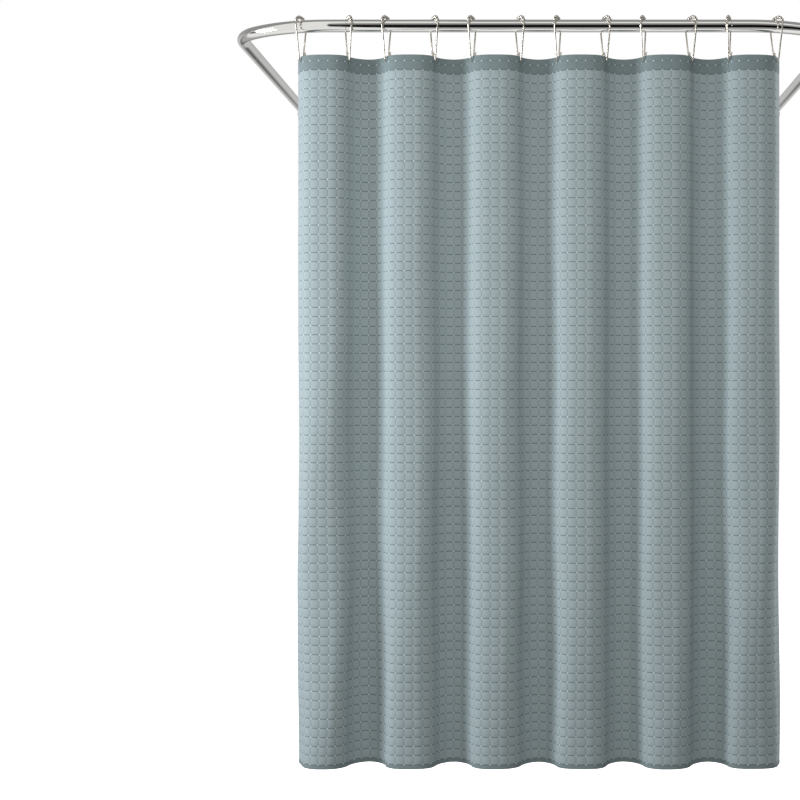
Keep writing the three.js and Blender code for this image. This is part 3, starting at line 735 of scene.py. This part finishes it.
weave = {"uprightLine": 0.42, "levelLine": 0.85, "lineHalf": 0.5, "lineFade": 1.9, "dotHalf": 1.0,
         "dotFade": 2.3, "toneSize": 60 * mm, "ribPitch": 2.0 * mm, "ribDepth": 0.12 * mm}


def waffleCloth(name, pillowColour, shadeColour, lineAndGrooveShadeColour, dotHighlightColour, dotRoughness):
    # woven polyester with a square dobby grid: matt pillows with fine upright ribs, sunken lines between them
    # whose darker colour is partly the weave's own and partly painted groove shade, and a short float of thread
    # on every crossing, drawn near white as a painted highlight of its glint, with a lower roughness that also
    # shines a little where the light reaches it
    material, tree = newMaterial(name)
    flat = addNode(tree, "ShaderNodeUVMap", uv_map="flat")
    cells = addNode(tree, "ShaderNodeVectorMath", {0: flat.outputs["UV"]}, operation="SCALE")
    cells.inputs["Scale"].default_value = 1 / cloth["cell"]
    axes = addNode(tree, "ShaderNodeSeparateXYZ", {0: cells.outputs[0]})
    offsets, lines = [], []
    for axis, strength in (("X", weave["uprightLine"]), ("Y", weave["levelLine"])):
        # distance from the nearest line, in millimetres, and how much that line darkens the yarn: the weave's
        # own line colour together with painted shade in the sunken groove
        nearest = addNode(tree, "ShaderNodeMath", {0: axes.outputs[axis], 1: 0.5}, operation="PINGPONG")
        offset = addNode(tree, "ShaderNodeMath", {0: nearest.outputs[0], 1: cloth["cell"] / mm},
                         operation="MULTIPLY")
        line = addNode(tree, "ShaderNodeMapRange", {"Value": offset.outputs[0], "From Min": weave["lineHalf"],
                                                    "From Max": weave["lineFade"], "To Min": strength,
                                                    "To Max": 0.0}, interpolation_type="SMOOTHSTEP")
        offsets.append(offset.outputs[0])
        lines.append(line.outputs["Result"])
    line = addNode(tree, "ShaderNodeMath", {0: lines[0], 1: lines[1]}, operation="MAXIMUM")
    corner = addNode(tree, "ShaderNodeCombineXYZ", {0: offsets[0], 1: offsets[1]})
    reach = addNode(tree, "ShaderNodeVectorMath", {0: corner.outputs[0]}, operation="LENGTH")
    dot = addNode(tree, "ShaderNodeMapRange", {"Value": reach.outputs["Value"], "From Min": weave["dotHalf"],
                                               "From Max": weave["dotFade"], "To Min": 1.0, "To Max": 0.0},
                  interpolation_type="SMOOTHSTEP").outputs["Result"]
    # slow change of tone from cell to cell, as the yarn takes the dye
    tone = addNode(tree, "ShaderNodeTexNoise", {"Vector": flat.outputs["UV"], "Scale": 1 / weave["toneSize"],
                                                "Detail": 5.0, "Roughness": 0.65}).outputs["Fac"]
    base = mixColour(tree, tone, linearColour(shadeColour), linearColour(pillowColour))
    # darker grid lines: partly the weave's own pattern, partly painted shade in the sunken grooves
    linedAndGrooveShaded = mixColour(tree, line.outputs[0], base, linearColour(lineAndGrooveShadeColour))
    # near-white crossing dots: a painted highlight of the thread's glint, over the dots' real gloss
    dottedHighlight = mixColour(tree, dot, linedAndGrooveShaded, linearColour(dotHighlightColour))
    # upright ribs of doubled yarn, drawn 2 mm apart, coarser than the real thread so that they show
    ribs = addNode(tree, "ShaderNodeTexWave", {"Vector": flat.outputs["UV"], "Distortion": 0.6, "Detail": 2.0,
                                               "Scale": np.pi / 10 / weave["ribPitch"]}, bands_direction="X")
    relief = addNode(tree, "ShaderNodeMath", {0: ribs.outputs["Fac"], 1: tone}, operation="ADD")
    bump = addNode(tree, "ShaderNodeBump", {"Height": relief.outputs[0], "Distance": weave["ribDepth"],
                                            "Strength": 0.5})
    gloss = addNode(tree, "ShaderNodeMapRange", {"Value": dot, "To Min": 0.86, "To Max": dotRoughness})
    finishMaterial(tree, Base_Color=dottedHighlight, Roughness=gloss.outputs["Result"], IOR=1.46,
                   Sheen_Weight=0.15, Sheen_Roughness=0.5, Normal=bump.outputs["Normal"])
    return material


panelCloth = waffleCloth("waffleWeavePolyester", "#A7B4B7", "#9CABAE", "#67797B", "#E3EAEB", 0.40)
# the hems: the panel's cloth in darker, greyer colours, painted shade for the darker header band, used on the
# bottom and side hems too
shadedHemCloth = waffleCloth("foldedHemShadedPolyester", "#849295", "#778687", "#6D7D7F", "#DDE5E6", 0.40)
panel = addPanel(panelCloth)
closeSeams(panel)
header, bottomHem, leftHem, rightHem = addHems(shadedHemCloth)
for piece, node, slot in ((panel, "curtain_panel", "curtain_fabric"), (header, "header_hem", "hem_fabric"),
                          (bottomHem, "bottom_hem", "hem_fabric"), (leftHem, "side_hem_left", "hem_fabric"),
                          (rightHem, "side_hem_right", "hem_fabric")):
    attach(piece, "curtain")
    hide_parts(node)
    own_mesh(piece)
print("cloth made:", len(panel.data.polygons), "panel faces")


stage = {"floorDrop": 60 * mm, "floorSize": 14.0, "cameraBack": 3.3, "cameraDown": 0.912, "viewWidth": 2.0608,
         "shiftX": -0.1734, "shiftY": -0.025, "softGrey": 0.21}


def plainMaterial(name, colour, roughness, glow=0.0):
    # painted board: matt, with a barely visible roller texture
    material, tree = newMaterial(name)
    place = addNode(tree, "ShaderNodeTexCoord")
    grain = addNode(tree, "ShaderNodeTexNoise", {"Vector": place.outputs["Object"], "Scale": 60.0})
    bump = addNode(tree, "ShaderNodeBump", {"Height": grain.outputs["Fac"], "Distance": 0.1 * mm,
                                            "Strength": 0.2})
    finishMaterial(tree, Base_Color=linearColour(colour), Roughness=roughness, Normal=bump.outputs["Normal"],
                   Emission_Color=linearColour("#FFFFFF"), Emission_Strength=glow)
    return material


def addBoard(name, centre, width, height, facing, material):
    # a flat board for the stage: four corners round its centre, square to the way it faces
    facing = Vector(facing).normalized()
    across = Vector((0, 0, 1)).cross(facing)
    across = across.normalized() if across.length > 0.1 else Vector((1, 0, 0))
    upwards = facing.cross(across)
    corners = [Vector(centre) + across * width * a / 2 + upwards * height * b / 2
               for a, b in ((-1, -1), (1, -1), (1, 1), (-1, 1))]
    piece = newPiece(name, np.array(corners), np.array([[0, 1, 2, 3]]), material)
    return piece


def addLight(name, place, target, size, power, colour, mirrored=False):
    # a soft box that the eye never sees, and that metal mirrors only when "mirrored" says so
    data = bpy.data.lights.new(name, "AREA")
    data.shape = "RECTANGLE"
    data.size, data.size_y = size
    data.energy = power
    data.color = linearColour(colour)[:3]
    light = bpy.data.objects.new(name, data)
    bpy.context.scene.collection.objects.link(light)
    light.location = place
    light.rotation_euler = (Vector(target) - Vector(place)).to_track_quat("-Z", "Y").to_euler()
    light.visible_camera = False
    light.visible_glossy = mirrored


floor = addBoard("floor", (middleX, rodY, bottomHemLow.z - stage["floorDrop"]), stage["floorSize"],
                 stage["floorSize"], (0, 0, 1), plainMaterial("paleFloor", "#F4F4F2", 0.7, 1.0))
floor.visible_diffuse = False
floor.visible_glossy = False

# key low on the left, weak fill from the room, and two lights behind the cloth's plane for its other sides
clothMiddle = (middleX - 0.1, rodY, -0.9)
clothTop = (middleX - 0.1, rodY, -0.6)
addLight("keyLight", (middleX - 2.75, rodY - 0.85, -0.5), clothMiddle, (0.7, 1.4), 70, "#F6FAFF", True)
addLight("fillLight", (middleX - 0.1, rodY - 2.4, -0.35), clothTop, (2.0, 1.2), 27, "#FFFEFB")
addLight("backLight", (middleX - 1.3, rodY + 2.9, -0.3), clothMiddle, (2.0, 1.4), 75, "#FFFFFF")
addLight("sideLight", (middleX + 2.8, rodY + 1.25, -0.3), clothMiddle, (1.0, 1.4), 60, "#FFFFFF")

# what the chrome mirrors: white, grey and black boards stood round the rod, as brightness by the angle about
# the rod's axis in degrees, 0 towards the room, 90 overhead, 180 at the wall and -90 at the floor
boards = [(-180, 0.62), (-168, 0.60), (-162, 0.14), (-150, 0.46), (-134, 0.46), (-112, 1.0), (-70, 1.0),
          (-64, 0.33), (-50, 0.27), (-40, 0.28), (-36, 0.0), (-2, 0.0), (7, 0.15), (20, 0.30), (34, 0.42),
          (42, 0.95), (58, 1.0), (66, 0.36), (95, 0.32), (124, 0.36), (150, 0.42), (172, 0.58), (180, 0.62)]


def studioWorld():
    # white to the eye, soft grey as light, and the boards above in mirrors
    world = bpy.data.worlds.new("studio")
    bpy.context.scene.world = world
    world.use_nodes = True
    tree = world.node_tree
    tree.nodes.clear()
    ray = addNode(tree, "ShaderNodeLightPath")
    towards = addNode(tree, "ShaderNodeTexCoord")
    axes = addNode(tree, "ShaderNodeSeparateXYZ", {0: towards.outputs["Generated"]})
    forwards = addNode(tree, "ShaderNodeMath", {0: axes.outputs["Y"], 1: -1.0}, operation="MULTIPLY")
    angle = addNode(tree, "ShaderNodeMath", {0: axes.outputs["Z"], 1: forwards.outputs[0]},
                    operation="ARCTAN2")
    turn = addNode(tree, "ShaderNodeMapRange", {"Value": angle.outputs[0], "From Min": -np.pi,
                                                "From Max": np.pi})
    ramp = addNode(tree, "ShaderNodeValToRGB", {0: turn.outputs["Result"]})
    stops = ramp.color_ramp.elements
    while len(stops) < len(boards):
        stops.new(0.5)
    for stop, (degrees, brightness) in zip(stops, boards):
        stop.position = (degrees + 180) / 360
        stop.color = (brightness, brightness, brightness, 1)
    # the black board ends a little way to the left, and a white one stands beside it
    aside = addNode(tree, "ShaderNodeMath", {0: axes.outputs["X"], 1: forwards.outputs[0]},
                    operation="DIVIDE")
    beside = addNode(tree, "ShaderNodeMapRange", {"Value": aside.outputs[0], "From Min": -0.185,
                                                  "From Max": -0.165, "To Min": 0.95, "To Max": 0.0})
    front = addNode(tree, "ShaderNodeMath", {0: forwards.outputs[0], 1: 0.3}, operation="GREATER_THAN")
    white = addNode(tree, "ShaderNodeMath", {0: beside.outputs["Result"], 1: front.outputs[0]},
                    operation="MULTIPLY")
    mirrored = addNode(tree, "ShaderNodeMath", {0: ramp.outputs["Color"], 1: white.outputs[0]},
                       operation="MAXIMUM")
    soft = addNode(tree, "ShaderNodeMix", {0: ray.outputs["Is Glossy Ray"], 2: stage["softGrey"],
                                          3: mirrored.outputs[0]})
    seen = addNode(tree, "ShaderNodeMix", {0: ray.outputs["Is Camera Ray"], 2: soft.outputs[0], 3: 1.0})
    backdrop = addNode(tree, "ShaderNodeBackground", {"Color": (1, 1, 1, 1), "Strength": seen.outputs[0]})
    addNode(tree, "ShaderNodeOutputWorld", {"Surface": backdrop.outputs[0]})


studioWorld()

camera = bpy.data.objects.new("camera", bpy.data.cameras.new("camera"))
bpy.context.scene.collection.objects.link(camera)
bpy.context.scene.camera = camera
camera.data.sensor_width = 36.0
camera.data.lens = camera.data.sensor_width * stage["cameraBack"] / stage["viewWidth"]
camera.data.shift_x, camera.data.shift_y = stage["shiftX"], stage["shiftY"]
camera.location = (middleX, rodY - stage["cameraBack"], rodZ - stage["cameraDown"])
camera.rotation_euler = (np.pi / 2, 0, 0)
bpy.context.scene.view_settings.view_transform = "Standard"
print("stage set")
